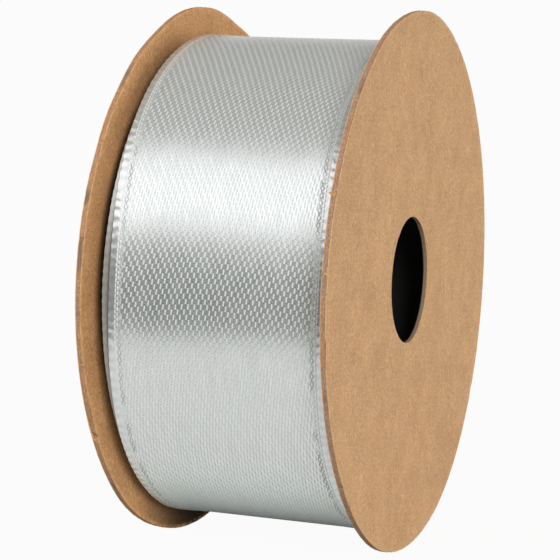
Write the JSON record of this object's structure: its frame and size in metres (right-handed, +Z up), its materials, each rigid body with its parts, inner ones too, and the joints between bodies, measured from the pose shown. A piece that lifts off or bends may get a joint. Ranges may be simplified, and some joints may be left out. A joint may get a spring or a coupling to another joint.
{
  "type": "ribbon spool",
  "caption": "Satin ribbon wound on a spool of two kraft-lined card discs and a paper tube, with a spindle hole through the discs and a taped loose end.",
  "frame": {"origin": "centre of the spool, on its axis, midway between the discs' outer faces", "axes": "+Y along the spool's axis towards the back disc, +Z up as it stands on its rims, +X towards the side where the ribbon's loose end lies"},
  "size_m": [0.096, 0.043, 0.096],
  "materials": {
    "kraft_paper": "matt, fibrous",
    "grey_board": "matt, cut edge",
    "tube_board": "matt",
    "satin": "satin sheen",
    "tape": "matt, translucent",
    "glue": "dried glue"
  },
  "bodies": {
    "spool": {"front_outer_liner": "kraft_paper", "front_board": "grey_board", "front_inner_liner": "kraft_paper", "back_inner_liner": "kraft_paper", "back_board": "grey_board", "back_outer_liner": "kraft_paper", "core_inner_ply": "tube_board", "core_middle_ply": "tube_board", "core_outer_ply": "tube_board", "front_glue": "glue", "back_glue": "glue", "start_tape": "tape", "ribbon_inner_turns": "satin", "ribbon_outer_turns": "satin"},
    "loose_end": {"ribbon_tail": "satin", "end_tape": "tape"}
  },
  "joints": [
    {"name": "loose_end_lift", "type": "hinge", "parent": "spool", "child": "loose_end", "pos_m": [0.01858, 0, 0.03957], "axis": [0, -1, 0], "range_deg": [0, 90]}
  ]
}
